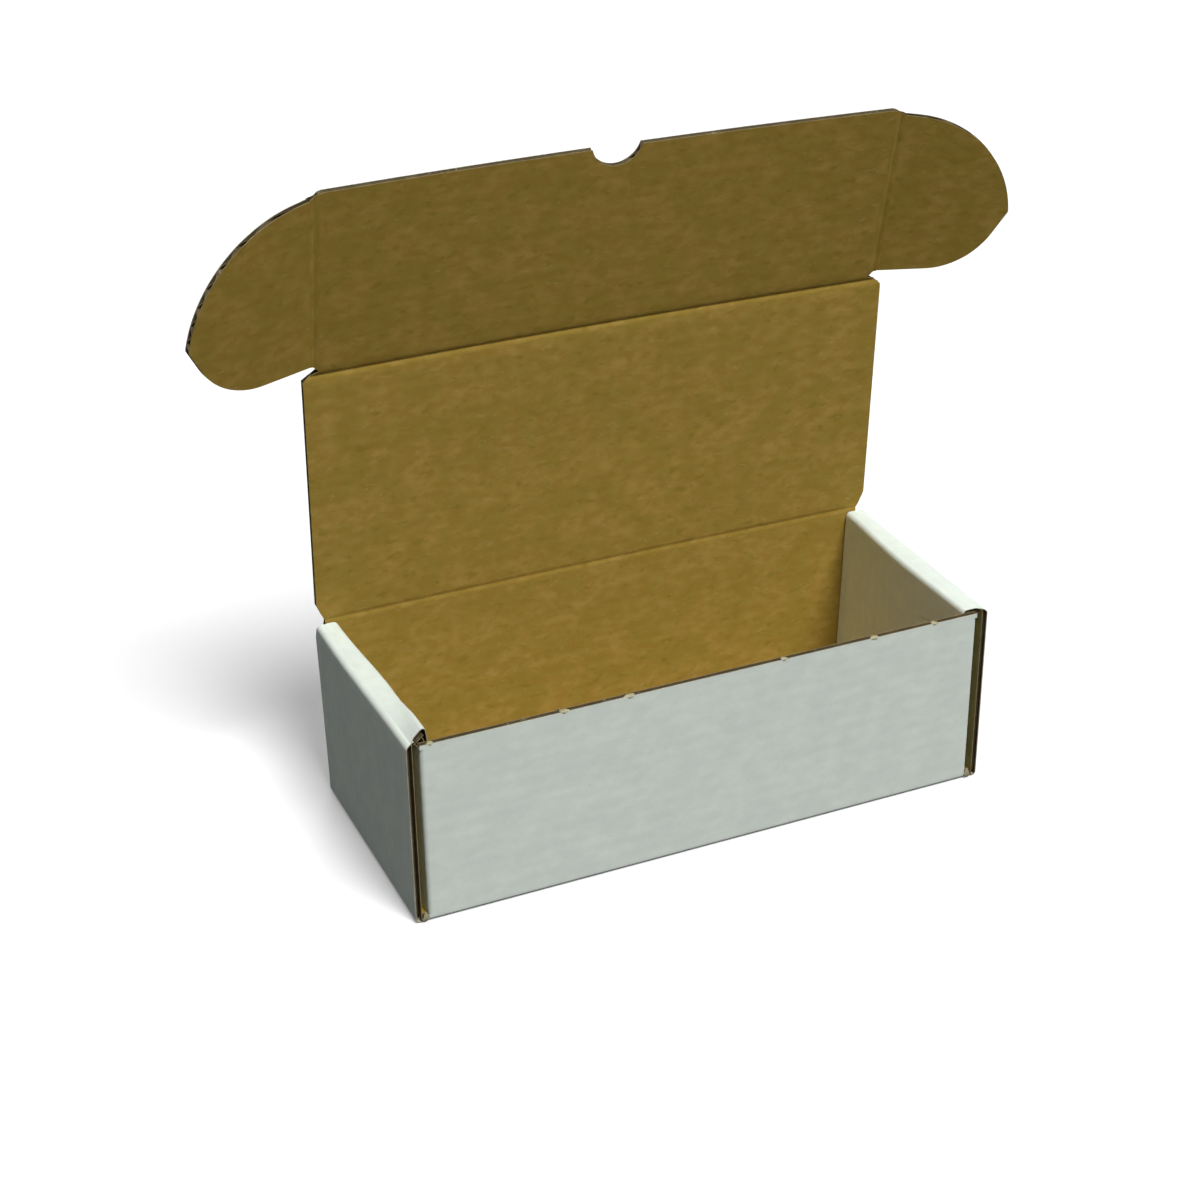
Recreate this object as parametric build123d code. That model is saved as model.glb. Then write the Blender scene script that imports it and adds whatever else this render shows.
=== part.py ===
from build123d import *
import os
from math import atan2, cos, radians, sin, tan

# Card storage box, folded from one blank of corrugated board that is white outside and brown inside.
# The ends are rolled over double and lock into the bottom. The lid is one with the back wall, and its
# front flap closes outside the front wall, with an ear at each end that slides into the end wall.
# Every panel is three papers: a white liner, a fluted paper and a brown kraft liner, each its own solid.
# Millimetres and degrees. Origin: centre of the underside. +X right, -Y front, +Z up. The lid is open.

# The folded box, measured over its outside
box_length = 248.0
box_depth = 104.4
box_height = 78.6

# The board
board = 2.5
liner = 0.3
flute_paper = 0.2
flute_pitch = 6.4
flute_crest = 1.0
fold_radius = 1.8

# Living creases: the papers are pressed together, so that each panel ends in a blunt wedge
crease_wedge_angle = 42.0
crease_gap = 0.05

# Walls
front_wall_drop = 1.0
end_set_back = 0.5
end_chamfer_height = 6.5
end_chamfer_depth = 2.5
corner_flap_gap = 11.4
corner_flap_chamfer = 7.0

# Lock tabs under the inner ends, and their slots in the bottom
tab_width = 18.0
tab_spacing = 52.0
tab_recess = 0.2
tab_chamfer = 0.8

# Lid, front flap and ears
lid_half_width = 124.5
lid_back_chamfer = 7.2
lid_front_chamfer = 1.8
lid_front_crease_half = 123.4
flap_floor_gap = 2.8
flap_corner_width = 3.2
flap_corner_drop = 0.9
notch_width = 20.7
notch_depth = 7.9
ear_length = 54.0
ear_tip_height = 30.4
ear_top_drop = 2.2
ear_top_run = 8.0
ear_top_angle = 7.0
ear_tip_radius = 2.0
ear_heel_reach = 40.5
ear_heel_radius = 29.5

# Clearances
ear_clearance = 0.08
ear_edge_clearance = 0.25
slot_clearance = 0.15
end_clearance = 0.3
corner_flap_clearance = 0.4
lid_clearance = 0.8
flap_clearance = 2.4

# How the lid stands open. The right-hand ear is folded in less than the left-hand one
lid_lean_angle = 3.4
flap_fold_angle = 9.8
left_ear_fold_angle = 17.0
right_ear_fold_angle = 12.0

# Worked out from the sizes above
half_board = board / 2
core_half = half_board - liner
bend_radius = min(fold_radius, board - liner)
wedge_slope = tan(radians(crease_wedge_angle))
lip_rise = liner / cos(radians(crease_wedge_angle))
lip_reach = (core_half + lip_rise) / wedge_slope

half_length = box_length / 2
half_depth = box_depth / 2
ear_gap = board + 2 * ear_clearance
wall_half = half_length - board - ear_gap
back_wall_half = half_length - board
inner_depth = box_depth - 2 * board
end_half = half_depth - end_set_back
inner_end_width = inner_depth - 2 * end_clearance
inner_end_back = wall_half - board
strip_width = half_length - board - inner_end_back

crease_height = box_height + lid_clearance + half_board
crease_depth = half_depth - half_board
lid_reach = crease_depth + half_depth + flap_clearance + half_board
flap_height = crease_height - flap_floor_gap
ear_crease = wall_half + ear_gap / 2
ear_near = half_board + lid_clearance + board + ear_edge_clearance
ear_far = flap_height - ear_top_drop

corner_flap_bottom = board + corner_flap_clearance
corner_flap_top = box_height - board - corner_flap_clearance
corner_flap_length = (inner_depth - corner_flap_gap) / 2


def area(x0, x1, y0, y1):
    """A rectangle between two corners."""
    return Pos((x0 + x1) / 2, (y0 + y1) / 2) * Rectangle(x1 - x0, y1 - y0)


# Sections through the board: x runs into the panel from its edge, y from the brown face to the white

def bend_section():
    """The white liner where it turns a folded edge, at x = 0."""
    centre = half_board - bend_radius
    ring = Pos(bend_radius, centre) * (Circle(bend_radius) - Circle(bend_radius - liner))
    quarter = ring & area(0, bend_radius, centre, half_board)
    return quarter + area(0, liner, -half_board, centre)


def lip_section():
    """The white liner where it slopes down to a living crease, whose axis is at (0, 0)."""
    return Polygon(
        (lip_reach, half_board),
        (half_board / wedge_slope, half_board),
        (crease_gap, crease_gap * wedge_slope),
        (crease_gap, 0),
        (lip_rise / wedge_slope, 0),
        (lip_reach, core_half),
        align=None,
    )


def liner_section(length, start, end, white):
    """A liner from one edge of a panel to the other. An edge is cut, fold or crease."""
    fold_inset = bend_radius if white else liner
    insets = {"cut": 0, "fold": fold_inset, "crease": lip_reach}
    section = area(insets[start], length - insets[end], core_half, half_board)
    edges = {"fold": bend_section, "crease": lip_section}
    for edge, far in ((start, False), (end, True)):
        if edge == "cut" or (edge == "fold" and not white):
            continue
        piece = edges[edge]()
        section += Pos(length, 0) * mirror(piece, Plane.YZ) if far else piece
    return section if white else mirror(section, Plane.XZ)


def flute_section(start, end):
    """The fluted paper: a wave whose flat crests touch both liners."""
    half_crest = flute_crest / 2
    drop = 2 * core_half - flute_paper
    shift = flute_paper / 2 * tan(atan2(drop, flute_pitch / 2 - flute_crest) / 2)
    wide = half_crest + shift
    narrow = half_crest - shift
    middle = (start + end) / 2
    count = int((end - start) / flute_pitch / 2) + 2
    upper = []
    lower = []
    for number in range(-count, count):
        crest = middle + number * flute_pitch
        trough = crest + flute_pitch / 2
        upper += [(crest - wide, core_half), (crest + wide, core_half)]
        upper += [(trough - narrow, flute_paper - core_half), (trough + narrow, flute_paper - core_half)]
        lower += [(crest - narrow, core_half - flute_paper), (crest + narrow, core_half - flute_paper)]
        lower += [(trough - wide, -core_half), (trough + wide, -core_half)]
    wave = make_face(Polyline(*upper, *reversed(lower), close=True))
    return wave & area(start, end, -core_half, core_half)


# Panels: local X runs across the panel about its middle, Y from its first edge, +Z to its white side

def along_y(section, x_start, width):
    """A section that runs in Y, drawn out across X."""
    plane = Plane(origin=(x_start, 0, 0), x_dir=(0, 1, 0), z_dir=(1, 0, 0))
    return extrude(plane * section, amount=width)


def along_x(section, y_start, length):
    """A section that runs in X, drawn out along Y."""
    plane = Plane(origin=(0, y_start + length, 0), x_dir=(1, 0, 0), z_dir=(0, -1, 0))
    return extrude(plane * section, amount=length)


def at_side(section, x_edge, y_start, length):
    """A section that runs inwards from a side edge at +X, drawn out along Y, and its twin at -X."""
    plane = Plane(origin=(x_edge, y_start, 0), x_dir=(-1, 0, 0), z_dir=(0, 1, 0))
    right = extrude(plane * section, amount=length)
    return [right, mirror(right, Plane.YZ)]


def panel(left, right, length, start="cut", end="cut", tunnels="across", outline=None, inset=0):
    """The three papers of a panel. Its flute tunnels run across it or along it. The inset is how far
    its fluting stays back from both sides."""
    insets = {"cut": 0, "fold": bend_radius, "crease": lip_reach}
    first = insets[start]
    last = length - insets[end]
    if tunnels == "across":
        fluting = along_y(flute_section(first, last), left + inset, right - left - 2 * inset)
    else:
        fluting = along_x(flute_section(left + inset, right - inset), first, last - first)
    layers = {
        "white_liner": along_y(liner_section(length, start, end, True), left, right - left),
        "fluting": fluting,
        "kraft_liner": along_y(liner_section(length, start, end, False), left, right - left),
    }
    if outline is not None:
        prism = extrude(outline, amount=board, both=True)
        layers = {name: layer & prism for name, layer in layers.items()}
    return layers


def placed(layers, origin, across, facing):
    """A panel set in the box: its X axis and its white side given as directions."""
    location = Plane(origin=origin, x_dir=across, z_dir=facing).location
    return {name: location * layer for name, layer in layers.items()}


def mirrored(layers, plane):
    return {name: mirror(layer, plane) for name, layer in layers.items()}


def bottom():
    """The floor of the box, with the slots that take the lock tabs."""
    half = half_length - board
    slot_x = inner_end_back - half_board
    slot = Rectangle(board + 2 * slot_clearance, tab_width + 2 * slot_clearance)
    outline = area(-half, half, 0, inner_depth)
    for x in (-slot_x, slot_x):
        for y in (-tab_spacing / 2, tab_spacing / 2):
            outline -= Pos(x, inner_depth / 2 + y) * slot
    layers = panel(-half, half, inner_depth, outline=outline)
    return placed(layers, (0, inner_depth / 2, half_board), (1, 0, 0), (0, 0, -1))


def wall(half, height, top):
    """A front or back wall. Its white liner turns round the bottom fold and round the corner folds."""
    layers = panel(-half, half, height, "fold", top, inset=bend_radius)
    run = corner_flap_top - corner_flap_bottom
    middle = corner_flap_bottom + run / 2
    for side in (-1, 1):
        corner = Pos(side * (half - bend_radius / 2), middle) * Box(bend_radius, run, board)
        edge = Pos(side * (half - liner / 2), middle) * Box(liner, run, board)
        layers["white_liner"] -= corner
        layers["kraft_liner"] -= edge
    for bend in at_side(bend_section(), half, corner_flap_bottom, run):
        layers["white_liner"] += bend
    return layers


def front_wall():
    """The front wall, which leaves room for an ear between each of its ends and the end wall."""
    layers = wall(wall_half, box_height - front_wall_drop, "cut")
    return placed(layers, (0, -crease_depth, 0), (1, 0, 0), (0, -1, 0))


def back_wall():
    """The back wall, which fills the box from end to end and carries the lid."""
    layers = wall(back_wall_half, crease_height, "crease")
    return placed(layers, (0, crease_depth, 0), (-1, 0, 0), (0, 1, 0))


def corner_flap(wall_end):
    """The right-hand flap on a front wall that ends at wall_end, folded back between the end panels."""
    half = (corner_flap_top - corner_flap_bottom) / 2
    outline = Polygon(
        (-half, 0),
        (half, 0),
        (half, corner_flap_length - corner_flap_chamfer),
        (half - corner_flap_chamfer, corner_flap_length),
        (corner_flap_chamfer - half, corner_flap_length),
        (-half, corner_flap_length - corner_flap_chamfer),
        align=None,
    )
    layers = panel(-half, half, corner_flap_length, tunnels="along", outline=outline)
    middle = (corner_flap_top + corner_flap_bottom) / 2
    return placed(layers, (wall_end - half_board, -inner_depth / 2, middle), (0, 0, -1), (1, 0, 0))


def outer_end():
    """The right-hand end wall. It folds up from the bottom and over at the top."""
    outline = area(-end_half, end_half, 0, box_height)
    outline -= Polygon(
        (end_half, box_height),
        (end_half - end_chamfer_depth, box_height),
        (end_half, box_height - end_chamfer_height),
        align=None,
    )
    layers = panel(-end_half, end_half, box_height, "fold", "fold", "along", outline)
    return placed(layers, (half_length - half_board, 0, 0), (0, 1, 0), (1, 0, 0))


def top_strip():
    """The narrow strip on top of the rolled right-hand end."""
    half = inner_end_width / 2
    layers = panel(-half, half, strip_width, tunnels="along")
    return placed(layers, (half_length - board, 0, box_height - half_board), (0, 1, 0), (0, 0, 1))


def inner_end():
    """The right-hand end's inner panel, white side to the cards, with two tabs that lock in the bottom."""
    half = inner_end_width / 2
    tab_reach = board - tab_recess
    height = box_height - board
    outline = area(-half, half, tab_reach, tab_reach + height)
    for x in (-tab_spacing / 2, tab_spacing / 2):
        outline += Pos(x, 0) * Polygon(
            (-tab_width / 2, tab_reach),
            (-tab_width / 2, tab_chamfer),
            (tab_chamfer - tab_width / 2, 0),
            (tab_width / 2 - tab_chamfer, 0),
            (tab_width / 2, tab_chamfer),
            (tab_width / 2, tab_reach),
            align=None,
        )
    layers = panel(-half, half, tab_reach + height, "cut", "fold", "along", outline)
    return placed(layers, (inner_end_back - half_board, 0, tab_recess), (0, -1, 0), (-1, 0, 0))


def leaning(angle):
    """Up along a panel that leans forward by an angle, and out of its white side."""
    lean = radians(angle)
    return Vector(0, -sin(lean), cos(lean)), Vector(0, cos(lean), sin(lean))


lid_up, lid_back = leaning(lid_lean_angle)
flap_up, flap_back = leaning(lid_lean_angle + flap_fold_angle)
lid_crease = Vector(0, crease_depth, crease_height)
flap_crease = lid_crease + lid_up * lid_reach


def lid():
    """The lid, creased to the back wall and to the front flap. Its corners are cut to clear the ends."""
    outline = Polygon(
        (back_wall_half, 0),
        (lid_half_width, lid_back_chamfer),
        (lid_half_width, lid_reach - lid_front_chamfer),
        (lid_front_crease_half, lid_reach),
        (-lid_front_crease_half, lid_reach),
        (-lid_half_width, lid_reach - lid_front_chamfer),
        (-lid_half_width, lid_back_chamfer),
        (-back_wall_half, 0),
        align=None,
    )
    layers = panel(-lid_half_width, lid_half_width, lid_reach, "crease", "crease", outline=outline)
    return placed(layers, lid_crease, (-1, 0, 0), lid_back)


def front_flap():
    """The flap that closes over the front wall, with a thumb notch in its free edge."""
    half = ear_crease - lip_reach
    outline = area(-half, half, 0, flap_height)
    notch_radius = notch_width ** 2 / 8 / notch_depth + notch_depth / 2
    outline -= Pos(0, flap_height - notch_depth + notch_radius) * Circle(notch_radius)
    layers = panel(-half, half, flap_height, "crease", "cut", outline=outline)
    lips = at_side(lip_section(), ear_crease, lip_reach, flap_height - lip_reach)
    for lip in lips:
        layers["white_liner"] += lip
        layers["kraft_liner"] += mirror(lip, Plane.XY)
    corner = Polygon(
        (ear_crease, flap_height),
        (ear_crease - flap_corner_width, flap_height),
        (ear_crease, flap_height - flap_corner_drop),
        align=None,
    )
    corners = extrude(corner + mirror(corner, Plane.YZ), amount=board, both=True)
    layers = {name: layer - corners for name, layer in layers.items()}
    return placed(layers, flap_crease, (-1, 0, 0), flap_back)


def ear_outline():
    """X runs along the crease from the lid, Y away from the crease to the tip."""
    slope = radians(ear_top_angle)
    shoulder = (ear_far - ear_top_run * tan(slope), ear_top_run)
    tip = (ear_tip_height, ear_length)
    heel = (ear_near, ear_heel_reach)
    top = Line((ear_far, 0), shoulder)
    sweep = TangentArc(shoulder, tip, tangent=(-sin(slope), cos(slope)))
    rest = Polyline(tip, heel, (ear_near, 0), (ear_far, 0))
    outline = make_face(top + sweep + rest)
    for corner, radius in ((heel, ear_heel_radius), (tip, ear_tip_radius)):
        vertex = outline.vertices().sort_by_distance(corner)[0]
        outline = fillet(vertex, radius)
    return outline


def ear(fold_angle):
    """A right-hand ear, creased to the end of the front flap and folded in by an angle."""
    fold = radians(fold_angle)
    layers = panel(ear_near, ear_far, ear_length, "crease", "cut", "along", ear_outline())
    facing = flap_back * cos(fold) + Vector(sin(fold), 0, 0)
    return placed(layers, flap_crease + Vector(ear_crease, 0, 0), flap_up, facing)


panels = {
    "bottom": bottom(),
    "front_wall": front_wall(),
    "back_wall": back_wall(),
    "lid": lid(),
    "front_flap": front_flap(),
    "right_end": outer_end(),
    "right_top_strip": top_strip(),
    "right_inner_end": inner_end(),
    "right_ear": ear(right_ear_fold_angle),
    "front_right_corner_flap": corner_flap(wall_half),
    "back_right_corner_flap": mirrored(corner_flap(back_wall_half), Plane.XZ),
}
for name in [name for name in panels if "right" in name]:
    panels[name.replace("right", "left")] = mirrored(panels[name], Plane.YZ)
panels["left_ear"] = mirrored(ear(left_ear_fold_angle), Plane.YZ)

os.makedirs("parts", exist_ok=True)
for name, layers in panels.items():
    for layer, shape in layers.items():
        export_step(shape, f"parts/{name}_{layer}.step")
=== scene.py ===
import bpy
import numpy as np
from math import cos, pi, radians, sin
from mathutils import Matrix, Vector


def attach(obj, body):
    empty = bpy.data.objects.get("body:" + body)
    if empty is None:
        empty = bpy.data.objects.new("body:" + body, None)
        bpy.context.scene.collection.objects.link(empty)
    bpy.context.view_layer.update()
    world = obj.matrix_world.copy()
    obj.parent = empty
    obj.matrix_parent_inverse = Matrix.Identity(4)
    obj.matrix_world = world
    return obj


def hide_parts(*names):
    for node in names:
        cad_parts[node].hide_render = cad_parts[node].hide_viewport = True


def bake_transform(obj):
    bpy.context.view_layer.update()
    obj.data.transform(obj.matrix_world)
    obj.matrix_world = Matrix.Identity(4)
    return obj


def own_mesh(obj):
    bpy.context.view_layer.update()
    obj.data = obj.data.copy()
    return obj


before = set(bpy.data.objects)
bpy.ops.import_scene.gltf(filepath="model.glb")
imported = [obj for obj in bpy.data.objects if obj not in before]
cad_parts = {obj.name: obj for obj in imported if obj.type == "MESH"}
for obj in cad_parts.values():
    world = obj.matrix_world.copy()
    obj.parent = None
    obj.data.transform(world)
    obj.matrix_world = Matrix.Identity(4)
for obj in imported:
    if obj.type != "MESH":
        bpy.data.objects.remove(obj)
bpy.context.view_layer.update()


# The camera stands where the photograph was taken: to the left of the box and above it, with a long lens
# and a slight tilt to one side.
view_turn = radians(-23.79)
view_rise = radians(27.82)
view_roll = radians(-0.8)
view_distance = 0.9449
aim_right = -0.02134
aim_up = 0.07627

back = Vector((sin(view_turn) * cos(view_rise), -cos(view_turn) * cos(view_rise), sin(view_rise)))
level = Vector((cos(view_turn), sin(view_turn), 0))
upright = back.cross(level)
place = level * aim_right + upright * aim_up + back * view_distance
side = level * cos(view_roll) + upright * sin(view_roll)
top = upright * cos(view_roll) - level * sin(view_roll)

lens = bpy.data.cameras.new("camera")
lens.sensor_width = 36
lens.lens = 68.04
camera = bpy.data.objects.new("camera", lens)
bpy.context.collection.objects.link(camera)
camera.matrix_world = Matrix((
    (side.x, top.x, back.x, place.x),
    (side.y, top.y, back.y, place.y),
    (side.z, top.z, back.z, place.z),
    (0, 0, 0, 1),
))
bpy.context.scene.camera = camera
bpy.context.scene.view_settings.view_transform = "Standard"


# A wide pale table and the light of a plain studio: one broad soft lamp high in front and a little to
# the right, weak ones at the left and behind, and an even dim surround. Only the camera sees the table
# and the surround as white. On the box they throw little light.
table_width = 12
table_bounce = (0.04, 0.04, 0.04)
table_white = (0.9, 0.9, 0.9)
table_whitening = 0.16
surround_light = 0.04


def deselect_all():
    for thing in bpy.context.selected_objects:
        thing.select_set(False)


def seen_directly(nodes, links):
    """1 where the camera sees a surface, also through a shine or through glass."""
    path = nodes.new("ShaderNodeLightPath")
    shine = nodes.new("ShaderNodeMath")
    shine.operation = "MAXIMUM"
    either = nodes.new("ShaderNodeMath")
    either.operation = "MAXIMUM"
    links.new(path.outputs["Is Glossy Ray"], shine.inputs[0])
    links.new(path.outputs["Is Transmission Ray"], shine.inputs[1])
    links.new(path.outputs["Is Camera Ray"], either.inputs[0])
    links.new(shine.outputs[0], either.inputs[1])
    return either.outputs[0]


deselect_all()
bpy.ops.mesh.primitive_plane_add(size=table_width, location=(0, 0, 0))
table = bpy.context.object
table.name = "table"
pale = bpy.data.materials.new("pale_table")
pale.use_nodes = True
nodes = pale.node_tree.nodes
links = pale.node_tree.links
shader = nodes["Principled BSDF"]
shader.inputs["Roughness"].default_value = 1.0
shader.inputs["Specular IOR Level"].default_value = 0.0
tone = nodes.new("ShaderNodeMix")
tone.data_type = "RGBA"
tone.inputs["A"].default_value = (*table_bounce, 1)
tone.inputs["B"].default_value = (*table_white, 1)
seen = seen_directly(nodes, links)
links.new(seen, tone.inputs["Factor"])
links.new(tone.outputs["Result"], shader.inputs["Base Color"])
whitened = nodes.new("ShaderNodeMix")
whitened.data_type = "FLOAT"
whitened.inputs["A"].default_value = 0.0
whitened.inputs["B"].default_value = table_whitening
links.new(seen, whitened.inputs["Factor"])
shader.inputs["Emission Color"].default_value = (1, 1, 1, 1)
links.new(whitened.outputs["Result"], shader.inputs["Emission Strength"])
table.data.materials.append(pale)

world = bpy.data.worlds.new("surround")
world.use_nodes = True
bpy.context.scene.world = world
nodes = world.node_tree.nodes
links = world.node_tree.links
glow = nodes["Background"]
glow.inputs["Color"].default_value = (1, 1, 1, 1)
strength = nodes.new("ShaderNodeMix")
strength.data_type = "FLOAT"
strength.inputs["A"].default_value = surround_light
strength.inputs["B"].default_value = 1.0
links.new(seen_directly(nodes, links), strength.inputs["Factor"])
links.new(strength.outputs["Result"], glow.inputs["Strength"])

lamps = [
    ("key_lamp", (0.2, -1.0, 1.6), 3.2, 24),
    ("left_lamp", (-1.0, 0.1, 0.8), 0.3, 40),
    ("back_lamp", (0.35, 1.0, 0.3), 1.3, 40),
]
for name, towards, power, softness in lamps:
    light = bpy.data.lights.new(name, "SUN")
    light.energy = power
    light.angle = radians(softness)
    lamp = bpy.data.objects.new(name, light)
    bpy.context.collection.objects.link(lamp)
    lamp.rotation_euler = Vector(towards).to_track_quat("Z", "Y").to_euler()


# The box is one blank of corrugated board, cut, creased and folded. A panel is told here by the start of
# its first edge, the direction across it, the way its white side faces, the way its flute tunnels run,
# and the body that it moves with. Up along a panel is its facing crossed with its across.
board = 0.0025
half_board = board / 2
box_half_length = 0.124
box_half_depth = 0.0522
box_height = 0.0786
wall_half = 0.11884
back_wall_half = 0.1215
crease_height = 0.08065
lid_reach = 0.1068
flap_height = 0.07785
ear_crease = 0.12017
lid_lean = radians(3.4)
flap_lean = radians(13.2)
right_ear_turn = radians(12)
left_ear_turn = radians(17)
inner_end_middle = 0.11509
inner_end_foot = 0.0002

lid_up = Vector((0, -sin(lid_lean), cos(lid_lean)))
lid_back = Vector((0, cos(lid_lean), sin(lid_lean)))
flap_up = Vector((0, -sin(flap_lean), cos(flap_lean)))
flap_back = Vector((0, cos(flap_lean), sin(flap_lean)))
lid_crease = Vector((0, box_half_depth - half_board, crease_height))
flap_crease = lid_crease + lid_up * lid_reach


def ear_facing(turn):
    return flap_back * cos(turn) + Vector((sin(turn), 0, 0))


def panel(origin, across, facing, tunnels="across", body="root", left=False):
    """A panel's place. A left one is given as its right-hand twin and mirrored."""
    origin, across, facing = Vector(origin), Vector(across), Vector(facing)
    up = facing.cross(across)
    hand = Vector((-1, 1, 1)) if left else Vector((1, 1, 1))
    return {
        "origin": np.array(origin * hand),
        "across": np.array(across * hand),
        "facing": np.array(facing * hand),
        "up": np.array(up * hand),
        "tunnels": tunnels,
        "body": body,
    }


right_ear_origin = flap_crease + Vector((ear_crease, 0, 0))
panels = {
    "bottom": panel((0, box_half_depth - board, half_board), (1, 0, 0), (0, 0, -1)),
    "front_wall": panel((0, half_board - box_half_depth, 0), (1, 0, 0), (0, -1, 0)),
    "back_wall": panel((0, box_half_depth - half_board, 0), (-1, 0, 0), (0, 1, 0)),
    "lid": panel(lid_crease, (-1, 0, 0), lid_back, body="lid"),
    "front_flap": panel(flap_crease, (-1, 0, 0), flap_back, body="front_flap"),
    "right_ear": panel(right_ear_origin, flap_up, ear_facing(right_ear_turn), "along", "right_ear"),
    "left_ear": panel(right_ear_origin, flap_up, ear_facing(left_ear_turn), "along", "left_ear", True),
}
for side in ("right", "left"):
    left = side == "left"
    end_places = {
        "end": ((box_half_length - half_board, 0, 0), (0, 1, 0), (1, 0, 0)),
        "top_strip": ((box_half_length - board, 0, box_height - half_board), (0, 1, 0), (0, 0, 1)),
        "inner_end": ((inner_end_middle, 0, inner_end_foot), (0, -1, 0), (-1, 0, 0)),
    }
    for name, (origin, across, facing) in end_places.items():
        panels[f"{side}_{name}"] = panel(origin, across, facing, "along", "root", left)
    corner_places = {
        "front": ((wall_half - half_board, board - box_half_depth, box_height / 2), (0, 0, -1)),
        "back": ((back_wall_half - half_board, box_half_depth - board, box_height / 2), (0, 0, 1)),
    }
    for name, (origin, across) in corner_places.items():
        panels[f"{name}_{side}_corner_flap"] = panel(origin, across, (1, 0, 0), "along", "root", left)


# Paper as it is made: long fibres that lie along the web, cloudy where they lie thicker, with dark flecks
# of bark and a faint stripe over each flute. One group of nodes gives these as masks and a height.
flute_pitch = 0.0064

# For each mask: how the place is drawn out, the noise's scale, detail, roughness and distortion, and the
# two levels between which it fades in.
grain_masks = {
    "Mottle": ((1.0, 1.0, 1.0), 70, 3, 0.5, 0.0, (0.36, 0.64)),
    "Cloud": ((0.6, 1.0, 1.0), 260, 2, 0.5, 0.0, (0.3, 0.7)),
    "Fibres": ((1.0, 0.2, 1.0), 2400, 2, 0.6, 0.0, (0.32, 0.68)),
    "Blotches": ((0.6, 1.0, 1.0), 300, 1, 0.5, 0.3, (0.56, 0.80)),
    "Hairs": ((0.35, 1.0, 1.0), 620, 1, 0.4, 1.6, (0.66, 0.76)),
    "Flecks": ((0.6, 1.0, 1.0), 760, 1, 0.4, 0.0, (0.70, 0.78)),
}
fluff_scale = 700
fibre_height = 0.5
fluff_height = 0.8
paper_shine = 0.25


def new_group(name, inputs, outputs):
    """An empty node group with its sockets, and its input and output nodes."""
    group = bpy.data.node_groups.new(name, "ShaderNodeTree")
    for socket, kind, value in inputs:
        made = group.interface.new_socket(name=socket, in_out="INPUT", socket_type=kind)
        if value is not None:
            made.default_value = value
    for socket, kind in outputs:
        group.interface.new_socket(name=socket, in_out="OUTPUT", socket_type=kind)
    return group, group.nodes.new("NodeGroupInput"), group.nodes.new("NodeGroupOutput")


def stretched(group, vector, scale):
    """The same place, with each direction drawn out by its own amount."""
    node = group.nodes.new("ShaderNodeVectorMath")
    node.operation = "MULTIPLY"
    group.links.new(vector, node.inputs[0])
    node.inputs[1].default_value = scale
    return node.outputs[0]


def noise(group, vector, scale, detail=2.0, roughness=0.5, distortion=0.0):
    node = group.nodes.new("ShaderNodeTexNoise")
    node.inputs["Scale"].default_value = scale
    node.inputs["Detail"].default_value = detail
    node.inputs["Roughness"].default_value = roughness
    node.inputs["Distortion"].default_value = distortion
    group.links.new(vector, node.inputs["Vector"])
    return node.outputs["Fac"]


def levels(group, value, low, high, to_low=0.0, to_high=1.0):
    """A value stretched from one range to another and kept inside it."""
    node = group.nodes.new("ShaderNodeMapRange")
    node.interpolation_type = "SMOOTHSTEP"
    group.links.new(value, node.inputs["Value"])
    for socket, number in zip(("From Min", "From Max", "To Min", "To Max"), (low, high, to_low, to_high)):
        node.inputs[socket].default_value = number
    return node.outputs["Result"]


def maths(group, operation, a, b):
    """Two values put together. Each is a socket or a plain number."""
    node = group.nodes.new("ShaderNodeMath")
    node.operation = operation
    for socket, value in zip(node.inputs, (a, b)):
        if isinstance(value, (int, float)):
            socket.default_value = value
        else:
            group.links.new(value, socket)
    return node.outputs[0]


def paper_grain():
    """Masks over a sheet of paper. The vector is the place on the blank in metres, with the flutes along
    its X and a flute tip on the white side at each whole pitch of its Y."""
    outputs = [(name, "NodeSocketFloat") for name in (*grain_masks, "Stripe", "Height")]
    group, given, result = new_group("paper_grain", [("Vector", "NodeSocketVector", None)], outputs)
    place = given.outputs["Vector"]
    masks = {}
    for name, (stretch, scale, detail, roughness, distortion, ends) in grain_masks.items():
        cloudy = noise(group, stretched(group, place, stretch), scale, detail, roughness, distortion)
        masks[name] = levels(group, cloudy, *ends)
    split = group.nodes.new("ShaderNodeSeparateXYZ")
    group.links.new(place, split.inputs[0])
    turn = maths(group, "MULTIPLY", split.outputs["Y"], 2 * pi / flute_pitch)
    masks["Stripe"] = levels(group, maths(group, "COSINE", turn, 0.0), -1.0, 1.0)
    fibres = maths(group, "MULTIPLY", masks["Fibres"], fibre_height)
    fluff = maths(group, "MULTIPLY", noise(group, place, fluff_scale), fluff_height)
    masks["Height"] = maths(group, "ADD", fibres, fluff)
    for name, value in masks.items():
        group.links.new(value, result.inputs[name])
    return group


grain = paper_grain()


def blend_colours(material, factor, a, b, mode="MIX"):
    """A mix of two colours. Each is a socket or three numbers, and the factor a socket or a number."""
    node = material.node_tree.nodes.new("ShaderNodeMix")
    node.data_type = "RGBA"
    node.blend_type = mode
    for name, value in (("Factor", factor), ("A", a), ("B", b)):
        socket = [found for found in node.inputs if found.name == name and found.enabled][0]
        if isinstance(value, (int, float)):
            socket.default_value = value
        elif isinstance(value, tuple):
            socket.default_value = (*value, 1)
        else:
            material.node_tree.links.new(value, socket)
    return [found for found in node.outputs if found.enabled][0]


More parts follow.
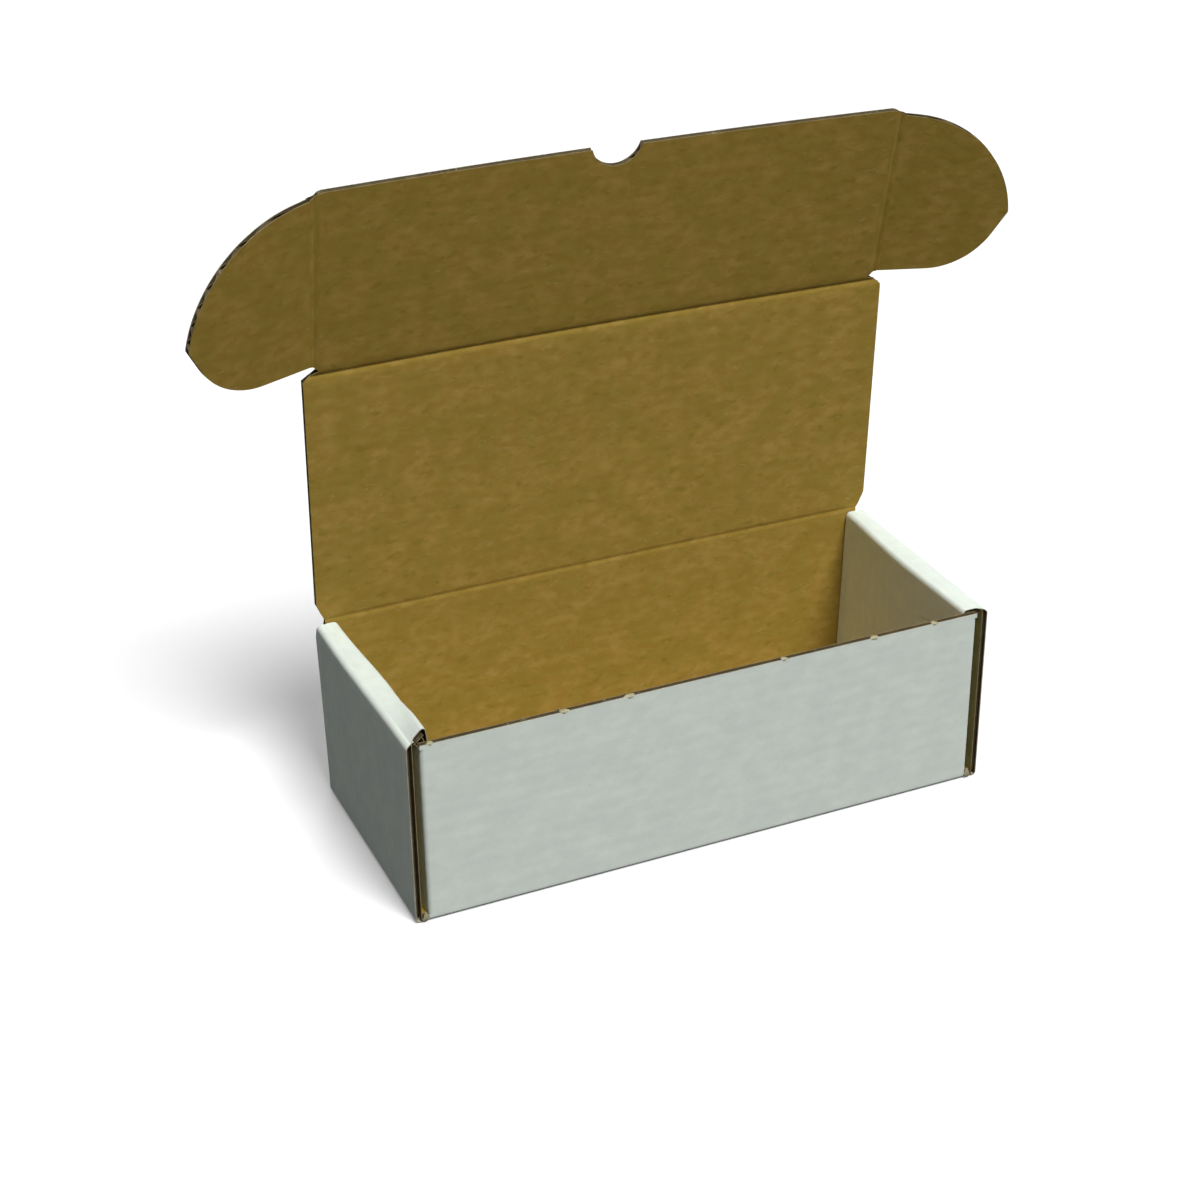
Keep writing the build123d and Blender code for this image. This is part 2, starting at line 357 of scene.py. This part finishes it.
def paper(name, base, layers, relief, roughness=(0.84, 0.96)):
    """A paper finish: a base colour, and over it, for each mask of the grain, a colour and how strongly
    it shows. The relief is the height of the grain in metres."""
    material = bpy.data.materials.new(name)
    material.use_nodes = True
    tree = material.node_tree
    shader = tree.nodes["Principled BSDF"]
    place = tree.nodes.new("ShaderNodeUVMap")
    place.uv_map = "blank"
    masks = tree.nodes.new("ShaderNodeGroup")
    masks.node_tree = grain
    tree.links.new(place.outputs["UV"], masks.inputs["Vector"])
    colour = base
    for mask, over, share in layers:
        colour = blend_colours(material, maths(tree, "MULTIPLY", masks.outputs[mask], share), colour, over)
    tree.links.new(colour, shader.inputs["Base Color"])
    tree.links.new(levels(tree, masks.outputs["Cloud"], 0.0, 1.0, *roughness), shader.inputs["Roughness"])
    shader.inputs["Specular IOR Level"].default_value = paper_shine
    bump = tree.nodes.new("ShaderNodeBump")
    bump.inputs["Strength"].default_value = 1.0
    bump.inputs["Distance"].default_value = relief
    tree.links.new(masks.outputs["Height"], bump.inputs["Height"])
    tree.links.new(bump.outputs["Normal"], shader.inputs["Normal"])
    return material


smooth_relief = 0.000013
good_relief = 0.00002
shaded_relief = 0.00003
cut_relief = 0.00005
white_face = paper("white_face", (0.86, 0.94, 0.855), [
    ("Mottle", (0.77, 0.845, 0.785), 0.55),
    ("Cloud", (0.68, 0.75, 0.68), 0.24),
    ("Fibres", (0.72, 0.78, 0.71), 0.14),
    ("Flecks", (0.45, 0.42, 0.33), 0.16),
    ("Stripe", (0.70, 0.77, 0.71), 0.12),
], smooth_relief)
kraft_face = paper("kraft_face", (0.435, 0.285, 0.060), [
    ("Mottle", (0.340, 0.243, 0.038), 0.95),
    ("Cloud", (0.335, 0.205, 0.028), 0.7),
    ("Fibres", (0.30, 0.21, 0.04), 0.12),
    ("Blotches", (0.235, 0.175, 0.016), 0.6),
    ("Hairs", (0.50, 0.40, 0.16), 0.3),
    ("Flecks", (0.13, 0.09, 0.02), 0.25),
    ("Stripe", (0.30, 0.20, 0.035), 0.12),
], good_relief)
# Painted shade: the kraft of the ends gets the greyer tone that the open slits at the front have in their
# shade.
painted_shade_kraft = paper("painted_shade_kraft", (0.44, 0.35, 0.13), [
    ("Mottle", (0.36, 0.30, 0.11), 0.9),
    ("Cloud", (0.31, 0.25, 0.09), 0.7),
    ("Fibres", (0.28, 0.23, 0.09), 0.2),
    ("Hairs", (0.55, 0.48, 0.28), 0.5),
    ("Flecks", (0.15, 0.12, 0.05), 0.25),
], shaded_relief)
# The core paper is darkened to the tone of the flute channels at the cut edges: partly the brown paper's
# own colour, partly painted shade in the channels.
core_paper_and_shade = paper("core_paper_and_shade", (0.17, 0.13, 0.065), [
    ("Mottle", (0.13, 0.10, 0.05), 0.6),
    ("Cloud", (0.09, 0.07, 0.035), 0.7),
    ("Fibres", (0.10, 0.08, 0.04), 0.6),
    ("Hairs", (0.42, 0.37, 0.25), 0.5),
], cut_relief)
cut_white = paper("cut_white", (0.55, 0.53, 0.42), [
    ("Cloud", (0.35, 0.32, 0.23), 0.7),
    ("Fibres", (0.30, 0.27, 0.18), 0.6),
], cut_relief)
cut_kraft = paper("cut_kraft", (0.36, 0.28, 0.14), [
    ("Cloud", (0.20, 0.15, 0.07), 0.7),
    ("Fibres", (0.16, 0.12, 0.06), 0.6),
], cut_relief)

# For each paper: its good side, its cut edge, and the side that is glued. The open slits at the front show
# a greyer brown than the rest in their shade, so the kraft of the ends has a colour of its own set to that
# tone: painted shade.
good_side = 0
cut_edge = 1
glued_side = 2
finishes = {
    "white_liner": (white_face, cut_white, core_paper_and_shade),
    "kraft_liner": (kraft_face, cut_kraft, core_paper_and_shade),
    "fluting": (core_paper_and_shade, cut_kraft, core_paper_and_shade),
}
own_faces = {f"{name}_kraft_liner": painted_shade_kraft for name in ("left_end", "right_end")}


# Every panel's papers, worked up from their CAD solids: cut into a fine net, so that the liners can stand
# a little proud over each flute tip and the whole panel can bow as board does.
flute_step = flute_pitch / 4
long_step = 0.008
margin_part = 5
washboard = 0.000014
edge_calm = 0.004
weld = 0.000001
sliver = 0.00002
plain_slack = 0.0001
flat_angle = radians(0.5)
panel_smoothing = radians(35)
liner = 0.0003
panels_apart = 0.7
flutes_apart = 64

# The faces of a paper are told apart by how squarely they look one way, from 0 to 1. Round a folded edge,
# low or high on a panel or at its sides, the white liner's faces count as its good side.
looks_that_way = 0.6
turns_that_way = 0.25
bend_radius = 0.0018
high_fold_from = bend_radius * 4
corner_fold_low = 0.0029
corner_fold_high = 0.0757
turned_low = ("front_wall", "back_wall", "left_end", "right_end")
turned_high = ("left_end", "right_end", "left_inner_end", "right_inner_end")
turned_sides = {"front_wall": wall_half, "back_wall": back_wall_half}


def place_on(where, points):
    """Across, up and out of a panel, for points of the box."""
    away = points - where["origin"]
    return away @ where["across"], away @ where["up"], away @ where["facing"]


def points_of(mesh):
    flat = np.empty(len(mesh.vertices) * 3)
    mesh.vertices.foreach_get("co", flat)
    return flat.reshape(-1, 3)


def select_only(piece):
    deselect_all()
    piece.select_set(True)
    bpy.context.view_layer.objects.active = piece


def cut_across(direction, origin, marks):
    """Cuts straight through the whole mesh at distances along a direction."""
    for mark in marks:
        bpy.ops.mesh.select_all(action="SELECT")
        bpy.ops.mesh.bisect(plane_co=origin + direction * mark, plane_no=direction)


def trim(direction, origin, mark, slack=plain_slack):
    """Cuts off what lies further than a mark along a direction, and closes the cut. Slack: how far from
    the cut a point still counts as on it."""
    bpy.ops.mesh.select_all(action="SELECT")
    bpy.ops.mesh.bisect(
        plane_co=origin + direction * mark,
        plane_no=direction,
        use_fill=True,
        clear_outer=True,
        threshold=slack,
    )


def marks_between(low, high, step, middle):
    first = int(np.floor((low - middle) / step)) + 1
    last = int(np.ceil((high - middle) / step))
    found = [middle + number * step for number in range(first, last)]
    margin = step / margin_part
    return [mark for mark in found if low + margin < mark < high - margin]


def smooth(value, low, high):
    t = np.clip((value - low) / (high - low), 0, 1)
    return t * t * (3 - 2 * t)


# The back wall, the lid and the flap bow backwards together, least at the creases and most at the flap's
# free edge. Beside the flap's crease the board curls back over its last few millimetres.
flap_start = crease_height + lid_reach
bow_half = 0.12
bow_marks = (0, 0.04, crease_height, crease_height + 0.055, flap_start, flap_start + flap_height)
bow_depths = (0, 0.0006, 0.0009, 0.0026, 0.0024, 0.0046)
curl_reach = 0.0055
curl_depth = 0.0004
chain = {"back_wall": 0, "lid": crease_height, "front_flap": flap_start}


def bowed(points, distance):
    """Points of the back wall, the lid or the flap, moved back. Distance: up the blank from the floor."""
    depth = np.interp(distance, bow_marks, bow_depths)
    depth = depth * np.clip(1 - (points[:, 0] / bow_half) ** 2, 0, 1)
    near = np.clip(1 - np.abs(distance - flap_start) / curl_reach, 0, 1)
    moved = points.copy()
    moved[:, 1] += depth + curl_depth * near ** 2
    return moved


# The rolled ends lean outwards towards the back, the inner panel more than the outer one.
outer_plane = box_half_length
inner_plane = 0.11384
outer_bulge = 0.0012
inner_lean = 0.0026
back_lift = 0.0006
band_start = 0.35
band_width = 0.35
highest_share = 1.1
bulge_power = 1.3
bulge_ends = (-0.05, 0.03)
lean_ends = (-0.008, 0.05)
lift_ends = (0.02, 0.05)
lift_start = 0.06


def leaned(points):
    """Points of a rolled end, moved outwards by their height and their place from front to back."""
    depth = (np.abs(points[:, 0]) - inner_plane) / (outer_plane - inner_plane)
    share = np.clip((depth - band_start) / band_width, 0, 1)
    rise = np.clip(points[:, 2] / box_height, 0, highest_share)
    outer = outer_bulge * smooth(points[:, 1], *bulge_ends) * rise ** bulge_power
    inner = inner_lean * smooth(points[:, 1], *lean_ends) * rise
    moved = points.copy()
    moved[:, 0] += np.sign(points[:, 0]) * (inner + (outer - inner) * share)
    lift = back_lift * smooth(points[:, 1], *lift_ends) * smooth(points[:, 2], lift_start, box_height)
    moved[:, 2] += lift
    return moved


# The left-hand roll has sprung up at its front, round its outer fold.
pop_turn = radians(42)
pop_axis = (-0.1215, 0.07845)
pop_back = -0.016
pop_front = -0.0494


def popped(points):
    """Points of the left-hand strip, turned up round the outer fold towards the front."""
    turn = pop_turn * smooth(-points[:, 1], -pop_back, -pop_front)
    across = points[:, 0] - pop_axis[0]
    rise = points[:, 2] - pop_axis[1]
    moved = points.copy()
    moved[:, 0] = pop_axis[0] + across * np.cos(turn) - rise * np.sin(turn)
    moved[:, 2] = pop_axis[1] + across * np.sin(turn) + rise * np.cos(turn)
    return moved


def settled(points, name, up):
    """Points of a panel where the real board has come to rest."""
    if name in chain:
        return bowed(points, chain[name] + up)
    if name == "left_top_strip":
        return leaned(popped(points))
    if name.endswith(("_end", "_strip")):
        return leaned(points)
    return points


# How far the liners and the fluting are cut back from a living crease, where the rolls start, and how
# much higher the fluting goes on under the sprung one.
skin_reach = 0.0022
core_reach = 0.0019
roll_foot = 0.0725
loose_lift = 0.0011
trims = {
    "back_wall": [("up", crease_height - skin_reach)],
    "lid": [("up", lid_reach - skin_reach), ("down", -skin_reach)],
    "front_flap": [
        ("down", -skin_reach),
        ("across", ear_crease - skin_reach),
        ("back", ear_crease - skin_reach),
    ],
    "left_ear": [("down", -skin_reach)],
    "right_ear": [("down", -skin_reach)],
    "right_end": [("up", roll_foot)],
    "left_end": [("up", roll_foot)],
    "right_inner_end": [("up", roll_foot)],
    "left_inner_end": [("up", roll_foot)],
}
core_trims = {
    "back_wall": [("up", crease_height - core_reach)],
    "lid": [("down", -core_reach)],
    "right_inner_end": [("up", roll_foot)],
    "left_inner_end": [("up", roll_foot + loose_lift)],
}


def trims_for(name, layer):
    """The papers are cut back at each living crease, and the white one also where an end rolls over."""
    if layer == "fluting":
        return core_trims.get(name, ())
    if layer == "kraft_liner" and name.endswith("_end"):
        return ()
    return trims.get(name, ())


def side_of(name, layer, where, face):
    """Whether a face lies on a paper's good side, on a cut edge or on the side that is glued."""
    across, up, out = (float(face.normal.dot(Vector(where[way]))) for way in ("across", "up", "facing"))
    if layer == "fluting":
        along = across if where["tunnels"] == "across" else up
        return cut_edge if abs(along) > looks_that_way else glued_side
    if layer == "kraft_liner":
        out = -out
    if out > looks_that_way:
        return good_side
    if layer == "white_liner" and turned(name, where, face, across, up):
        return good_side
    return glued_side if out < -looks_that_way else cut_edge


def turned(name, where, face, across, up):
    """Whether a face of the white liner lies round a folded edge."""
    a, v, _ = (float(value) for value in place_on(where, np.array(face.center)))
    if name in turned_low and v < bend_radius and up < -turns_that_way:
        return True
    if name in turned_high and v > high_fold_from and up > turns_that_way:
        return True
    side = turned_sides.get(name)
    if side is None or not corner_fold_low < v < corner_fold_high:
        return False
    return abs(a) > side - bend_radius and abs(across) > turns_that_way


def worked(name, layer):
    """A paper of a panel as its own piece."""
    where = panels[name]
    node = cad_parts[f"{name}_{layer}"]
    tips = place_on(where, points_of(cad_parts[f"{name}_fluting"].data))
    wave_way, run_way = ("up", "across") if where["tunnels"] == "across" else ("across", "up")
    wave = tips[1] if wave_way == "up" else tips[0]
    middle = (wave.min() + wave.max()) / 2
    piece = bpy.data.objects.new(f"{name}_{layer}_paper", node.data.copy())
    bpy.context.collection.objects.link(piece)
    select_only(piece)
    bpy.ops.mesh.customdata_custom_splitnormals_clear()
    bpy.ops.object.mode_set(mode="EDIT")
    bpy.ops.mesh.select_all(action="SELECT")
    bpy.ops.mesh.remove_doubles(threshold=weld)
    bpy.ops.mesh.dissolve_limited(angle_limit=flat_angle)
    spans = dict(zip(("across", "up"), place_on(where, points_of(node.data))[:2]))
    wave_span, run_span = spans[wave_way], spans[run_way]
    ways = {"up": where["up"], "down": -where["up"], "across": where["across"], "back": -where["across"]}
    for way, mark in trims_for(name, layer):
        trim(ways[way], where["origin"], mark)
    cut_across(where[run_way], where["origin"], marks_between(run_span.min(), run_span.max(), long_step, 0))
    if layer != "fluting":
        marks = marks_between(wave_span.min(), wave_span.max(), flute_step, middle)
        cut_across(where[wave_way], where["origin"], marks)
    bpy.ops.mesh.select_all(action="SELECT")
    bpy.ops.mesh.remove_doubles(threshold=sliver)
    bpy.ops.mesh.dissolve_degenerate(threshold=sliver)
    bpy.ops.object.mode_set(mode="OBJECT")
    mesh = piece.data
    mesh.update()
    sides = [side_of(name, layer, where, face) for face in mesh.polygons]
    points = points_of(mesh)
    across, up, out = place_on(where, points)
    along = {"across": across, "up": up}
    phase = along[wave_way] - middle
    if layer != "fluting":
        crest = 0 if layer == "white_liner" else pi
        calm = np.clip((up - up.min()) / edge_calm, 0, 1) * np.clip((up.max() - up) / edge_calm, 0, 1)
        swell = np.cos(phase / flute_pitch * 2 * pi + crest) * calm * washboard
        swell *= 1 if layer == "white_liner" else -1
        points = points + np.outer(swell, where["facing"])
    points = settled(points, name, up)
    uv = mesh.uv_layers.new(name="blank")
    corners = np.empty(len(mesh.loops), int)
    mesh.loops.foreach_get("vertex_index", corners)
    shift = list(panels).index(name)
    flat = np.stack([along[run_way] + shift * panels_apart, phase + shift * flutes_apart * flute_pitch], 1)
    uv.data.foreach_set("uv", flat[corners].ravel())
    mesh.vertices.foreach_set("co", points.ravel())
    mesh.materials.clear()
    for finish in finishes[layer]:
        mesh.materials.append(finish)
    mesh.materials[good_side] = own_faces.get(f"{name}_{layer}", mesh.materials[good_side])
    mesh.update()
    for face, number in zip(mesh.polygons, sides):
        face.material_index = number
    select_only(piece)
    bpy.ops.object.shade_smooth_by_angle(angle=panel_smoothing)
    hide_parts(f"{name}_{layer}")
    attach(piece, where["body"])
    if name == "left_top_strip":
        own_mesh(piece)
    return piece


rolled = ("left_top_strip", "right_top_strip")
for name in panels:
    for layer in finishes:
        if name in rolled and layer == "white_liner":
            continue
        worked(name, layer)


# A sheet of paper that is drawn out through a bend, edge by edge. It starts as a strip between the first
# two points of its path, and its far edge is drawn on through the others. Its ends are then set row by row.
sheet_smoothing = radians(50)
sheets_apart = 640 * flute_pitch


def drawn_sheet(name, layer, path, along, rows, outwards, shape, step=long_step):
    """Path: points across the bend. Rows: for each of them, the low and the high end along the bend.
    Outwards: the way the good side looks. Shape: moves the points of the finished sheet."""
    path = np.array([list(point) for point in path])
    along = np.array(along)
    path = path - np.outer(path @ along, along)
    lows, highs = (np.array(ends) for ends in zip(*rows))
    low, high = lows.min(), highs.max()
    deselect_all()
    bpy.ops.mesh.primitive_grid_add(x_subdivisions=round((high - low) / step), y_subdivisions=1, size=1)
    piece = bpy.context.object
    piece.name = f"{name}_{layer}"
    mesh = piece.data
    points = points_of(mesh)
    far = points[:, 1] > 0
    line = np.outer(low + (points[:, 0] + 0.5) * (high - low), along)
    mesh.vertices.foreach_set("co", (line + np.where(far[:, None], path[1], path[0])).ravel())
    mesh.update()
    for face in mesh.polygons:
        face.select = False
    for edge in mesh.edges:
        edge.select = all(far[index] for index in edge.vertices)
    for vertex, chosen in zip(mesh.vertices, far):
        vertex.select = bool(chosen)
    bpy.ops.object.mode_set(mode="EDIT")
    bpy.ops.mesh.select_mode(type="EDGE")
    for stride in np.diff(path[1:], axis=0):
        bpy.ops.mesh.extrude_edges_move(TRANSFORM_OT_translate={"value": tuple(stride)})
    bpy.ops.mesh.select_mode(type="VERT")
    bpy.ops.object.mode_set(mode="OBJECT")
    points = points_of(mesh)
    section = points - np.outer(points @ along, along)
    row = np.argmin(((section[:, None, :] - path[None]) ** 2).sum(2), 1)
    share = (points @ along - low) / (high - low)
    reach = lows[row] + share * (highs - lows)[row]
    points = section + np.outer(reach, along)
    lengths = np.concatenate([[0], np.cumsum(np.linalg.norm(np.diff(path, axis=0), axis=1))])
    mesh.uv_layers[0].name = "blank"
    corners = np.empty(len(mesh.loops), int)
    mesh.loops.foreach_get("vertex_index", corners)
    flat = np.stack([reach, lengths[row] + sheets_apart], 1)
    mesh.uv_layers["blank"].data.foreach_set("uv", flat[corners].ravel())
    mesh.vertices.foreach_set("co", shape(points, row).ravel())
    mesh.update()
    total = sum((face.normal * face.area for face in mesh.polygons), Vector())
    if total.dot(Vector(outwards)) < 0:
        mesh.flip_normals()
    for finish in finishes[layer]:
        mesh.materials.append(finish)
    thick = piece.modifiers.new("thickness", "SOLIDIFY")
    thick.thickness = liner
    thick.offset = -1
    thick.use_even_offset = True
    thick.material_offset = glued_side
    thick.material_offset_rim = cut_edge
    bpy.ops.object.modifier_apply(modifier=thick.name)
    bpy.ops.object.shade_smooth_by_angle(angle=sheet_smoothing)
    return piece


# The living creases. The three papers are pressed together along a line, and the two liners carry on
# across it, white outside and kraft inside.
groove_reaches = (0.0022, 0.0017, 0.00125, 0.0008, 0.0004)
grooves = {
    "white_liner": ((0.00125, 0.00123, 0.00107, 0.00078, 0.00053), 0.00043),
    "kraft_liner": ((0.00125, 0.00124, 0.00119, 0.00109, 0.00099), 0.00094),
}


def crease_skins(name, near, far, ways, along, rows, shape):
    """Both liners over a crease. Near and far: the panels it joins. Ways: the directions away from the
    crease in them. Rows: the low and the high end along the crease, for each point of the path."""
    crease = panels[far]["origin"]
    for layer, side in (("white_liner", 1), ("kraft_liner", -1)):
        facings = [panels[panel_name]["facing"] * side for panel_name in (near, far)]
        rises, groove_floor = grooves[layer]
        groove = list(zip(groove_reaches, rises))
        path = [crease + ways[0] * reach + facings[0] * rise for reach, rise in groove]
        middle = facings[0] + facings[1]
        path.append(crease + middle / np.linalg.norm(middle) * groove_floor)
        path += [crease + ways[1] * reach + facings[1] * rise for reach, rise in reversed(groove)]
        piece = drawn_sheet(name, layer, path, along, rows, middle, shape)
        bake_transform(piece)


def spread(*stops):
    """A row for each point of a groove's path, between the stops at its start, crease and end."""
    marks = (0, len(groove_reaches), 2 * len(groove_reaches))
    numbers = np.arange(2 * len(groove_reaches) + 1)
    lows, highs = (np.interp(numbers, marks, [stop[end] for stop in stops]) for end in (0, 1))
    return list(zip(lows, highs))


def along_chain(distance):
    """Bows the points of a skin whose crease lies this far up the blank."""
    reaches = [-reach for reach in groove_reaches] + [0] + list(reversed(groove_reaches))

    def shape(points, row):
        return bowed(points, distance + np.array(reaches)[row])

    return shape


right = np.array((1.0, 0, 0))
up_wall, up_lid, up_flap = (panels[name]["up"] for name in chain)
lid_ends = spread((-0.1212, 0.1212), (-0.1213, 0.1213), (-0.1224, 0.1224))
ways = (-up_wall, up_lid)
crease_skins("lid_crease", "back_wall", "lid", ways, right, lid_ends, along_chain(crease_height))
flap_ends = spread((-0.1245, 0.1245), (-0.1222, 0.1222), (-0.11797, 0.11797))
ways = (-up_lid, up_flap)
crease_skins("flap_crease", "lid", "front_flap", ways, right, flap_ends, along_chain(flap_start))

flap_foot = float(np.array(flap_crease) @ up_flap)
ear_stops = ((0.0022, 0.07757), (0.0040, 0.0766), (0.0049, 0.0756))
ear_ends = spread(*[(flap_foot + low, flap_foot + high) for low, high in ear_stops])


def along_flap(points, row):
    """Bows the points of a skin that runs up the flap."""
    return bowed(points, flap_start + points @ up_flap - flap_foot)


for side, hand in (("right", 1), ("left", -1)):
    ear = f"{side}_ear"
    ways = (-hand * right, panels[ear]["up"])
    crease_skins(f"{ear}_crease", "front_flap", ear, ways, up_flap, ear_ends, along_flap)


# Over the top of each end the white liner rolls without a break from the outer panel to the inner one.
# It is one soft band. The left-hand one has let go of the inner panel at its front.
roll_radius = 0.0023
soft_turn_width = 0.0018
soft_turn_height = 0.0022
roll_top = box_height
strip_front = -0.0494
end_front = -0.0517
chamfer_start = 0.0721
chamfer_slope = 2.5 / 6.5
front_step = (0.1195, 0.1232)
outer_panel_from = 0.1214
strip_gap = 0.0002


def arc(centre, width, height, first, last, count):
    turns = np.linspace(radians(first), radians(last), count)
    return [(centre[0] + width * cos(turn), centre[1] + height * sin(turn)) for turn in turns]


def roll_rows(section):
    """Where each line of a roll starts at the front and ends at the chamfered back."""
    rows = []
    for x, z in section:
        front = strip_front + (end_front - strip_front) * smooth(x, *front_step)
        back = -end_front - chamfer_slope * max(z - chamfer_start, 0)
        rows.append((front, back if x > outer_panel_from else -strip_front - strip_gap))
    return rows


def roll(name, section, hand, outwards, shape):
    path = [(hand * x, 0, z) for x, z in section]
    rows = roll_rows(section)
    piece = drawn_sheet(name, "white_liner", path, (0.0, 1.0, 0.0), rows, outwards, shape)
    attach(piece, "root")
    return piece


def lean_only(points, row):
    return leaned(points)


outer_turn = [(outer_plane, roll_foot)]
outer_turn += arc((outer_plane - roll_radius, roll_top - roll_radius), roll_radius, roll_radius, 0, 90, 7)
under_strip = [(0.1208, roll_top - 0.0001), (0.12, roll_top - 0.0004)]
inner_centre = (inner_plane + soft_turn_width, roll_top - soft_turn_height)
inner_turn = arc(inner_centre, soft_turn_width, soft_turn_height, 90, 180, 10)
inner_turn.append((inner_plane, roll_foot + strip_gap))
over_strip = [(front_step[0], roll_top)]
piece = roll("right_roll", outer_turn + over_strip + inner_turn, 1, (0, 0, 1), lean_only)
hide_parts("right_top_strip_white_liner")
roll("left_outer_roll", outer_turn + under_strip, -1, (-1, 0, 1), lean_only)

# The part of the left-hand roll that has sprung up: the strip is turned round the outer fold, its inner
# fold closes to a point, and the inner paper hangs from it.
loose_rise = 0.00015
loose_run = [(0.1217, roll_top), (0.1196, roll_top + 0.3 * loose_rise), (0.1176, roll_top + loose_rise)]
loose_radius = 0.002
loose_centre = (0.1157, roll_top + loose_rise - loose_radius)
loose_turn = arc(loose_centre, loose_radius, loose_radius, 90, 180, 7)
loose_drop = [(0.1137, 0.0745), (0.11378, 0.0725), (0.1138, 0.0705)]
loose_section = loose_run + loose_turn + loose_drop
fold_share = 0.85
turn_shares = [1] * (len(loose_run) + 1)
turn_shares += list(np.linspace(fold_share, 0, len(loose_turn) - 1))
turn_shares += [0] * len(loose_drop)


def sprung(points, row):
    """The loose part of the roll, laid down again line by line from the outer fold."""
    turn = pop_turn * smooth(-points[:, 1], -pop_back, -pop_front)
    section = np.array(loose_section) * (-1, 1)
    x = np.full(len(points), section[0, 0])
    z = np.full(len(points), section[0, 1])
    for number, (step_x, step_z) in enumerate(np.diff(section, axis=0), 1):
        here = turn * turn_shares[number]
        drawn = row >= number
        x = x + drawn * (step_x * np.cos(here) - step_z * np.sin(here))
        z = z + drawn * (step_x * np.sin(here) + step_z * np.cos(here))
    hang = np.clip((row - len(loose_run) - len(loose_turn) + 1) / len(loose_drop), 0, 1)
    start = section[row]
    x = x + (start[:, 0] - x) * hang
    z = z + (start[:, 1] - z) * hang
    return leaned(np.stack([x, points[:, 1], z], 1))


fine_slack = 0.000002
loose_start = (0, pop_back, 0)
strip_middle = (-0.119, 0, roll_top - liner / 2)


def roll_part(whole, name, cuts):
    """A part of the roll as a piece of its own. Cuts: for each, a point and the way that is cut off."""
    part = bpy.data.objects.new(f"{name}_white_liner", whole.data.copy())
    bpy.context.collection.objects.link(part)
    select_only(part)
    bpy.ops.object.mode_set(mode="EDIT")
    for point, away in cuts:
        trim(np.array(away), np.array(point), 0, fine_slack)
    bpy.ops.object.mode_set(mode="OBJECT")
    bpy.ops.object.shade_smooth_by_angle(angle=sheet_smoothing)
    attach(part, "root")
    return part


whole = roll("left_loose_roll", loose_section, -1, (0, 0, 1), sprung)
roll_part(whole, "left_inner_roll", [(loose_start, (0, -1, 0))])
roll_part(whole, "left_hanging_paper", [(loose_start, (0, 1, 0)), (strip_middle, (0, 0, 1))])
piece = roll_part(whole, "left_sprung_strip", [(loose_start, (0, 1, 0)), (strip_middle, (0, 0, -1))])
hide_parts("left_top_strip_white_liner")
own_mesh(piece)
bpy.data.objects.remove(whole)


# Torn scraps. Bridges of uncut board held the blank in its sheet, and where they were broken a scrap of
# split white paper lies over the cut edge. The lower front corners are crushed in the same way.
torn_relief = 0.00004
torn_paper = paper("torn_paper", (0.53, 0.50, 0.32), [
    ("Cloud", (0.34, 0.29, 0.15), 0.7),
    ("Fibres", (0.42, 0.38, 0.24), 0.6),
], torn_relief)
wall_top = 0.0776
wall_face = -box_half_depth
over_edge = [(-0.0001, -0.0006), (-0.00012, -0.0001), (0.0003, 0.0002), (0.0011, 0.00025), (0.0019, 0.0001)]
over_corner = [
    (-0.0002, 0.0046),
    (-0.0004, 0.0036),
    (-0.00045, 0.0022),
    (-0.0003, 0.0009),
    (0.0003, 0.0001),
]
scrap_rows = [(-0.0002, 0.0005), (-0.0012, 0.0010), (-0.0021, 0.0015), (-0.0012, 0.0019), (-0.0003, 0.0008)]
scrap_step = 0.0004
ruffle = 0.00012


def scrap(name, fold, place_along, foot, wide, hand, seed):
    """A torn scrap on the front wall. Fold: its path out from the wall and up from its foot. Hand: 1, or
    -1 to mirror it."""
    dice = np.random.default_rng(seed)
    path = [(0, wall_face + out, foot + rise) for out, rise in fold]
    ends = [(hand * low * wide, hand * high * wide) for low, high in scrap_rows]
    rows = [(place_along + min(pair), place_along + max(pair)) for pair in ends]

    def shape(points, row):
        return points + dice.uniform(-ruffle, ruffle, points.shape)

    piece = drawn_sheet(name, "white_liner", path, (1.0, 0, 0), rows, (0, -1, 1), shape, step=scrap_step)
    piece.data.materials[good_side] = torn_paper
    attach(piece, "root")


bridges = [
    (-0.1147, 0.7, 1),
    (-0.0612, 1.1, -1),
    (-0.0345, 1.2, 1),
    (0.0315, 0.8, -1),
    (0.0716, 1.0, 1),
    (0.099, 0.8, -1),
]
for number, (place_along, wide, hand) in enumerate(bridges, 1):
    scrap(f"front_wall_scrap_{number}", over_edge, place_along, wall_top, wide, hand, number)
crushed_corners = [(-0.1203, 0.75, -1), (0.1193, 0.7, 1)]
for number, (place_along, wide, hand) in enumerate(crushed_corners, len(bridges) + 1):
    scrap(f"front_wall_scrap_{number}", over_corner, place_along, 0.0, wide, hand, number)
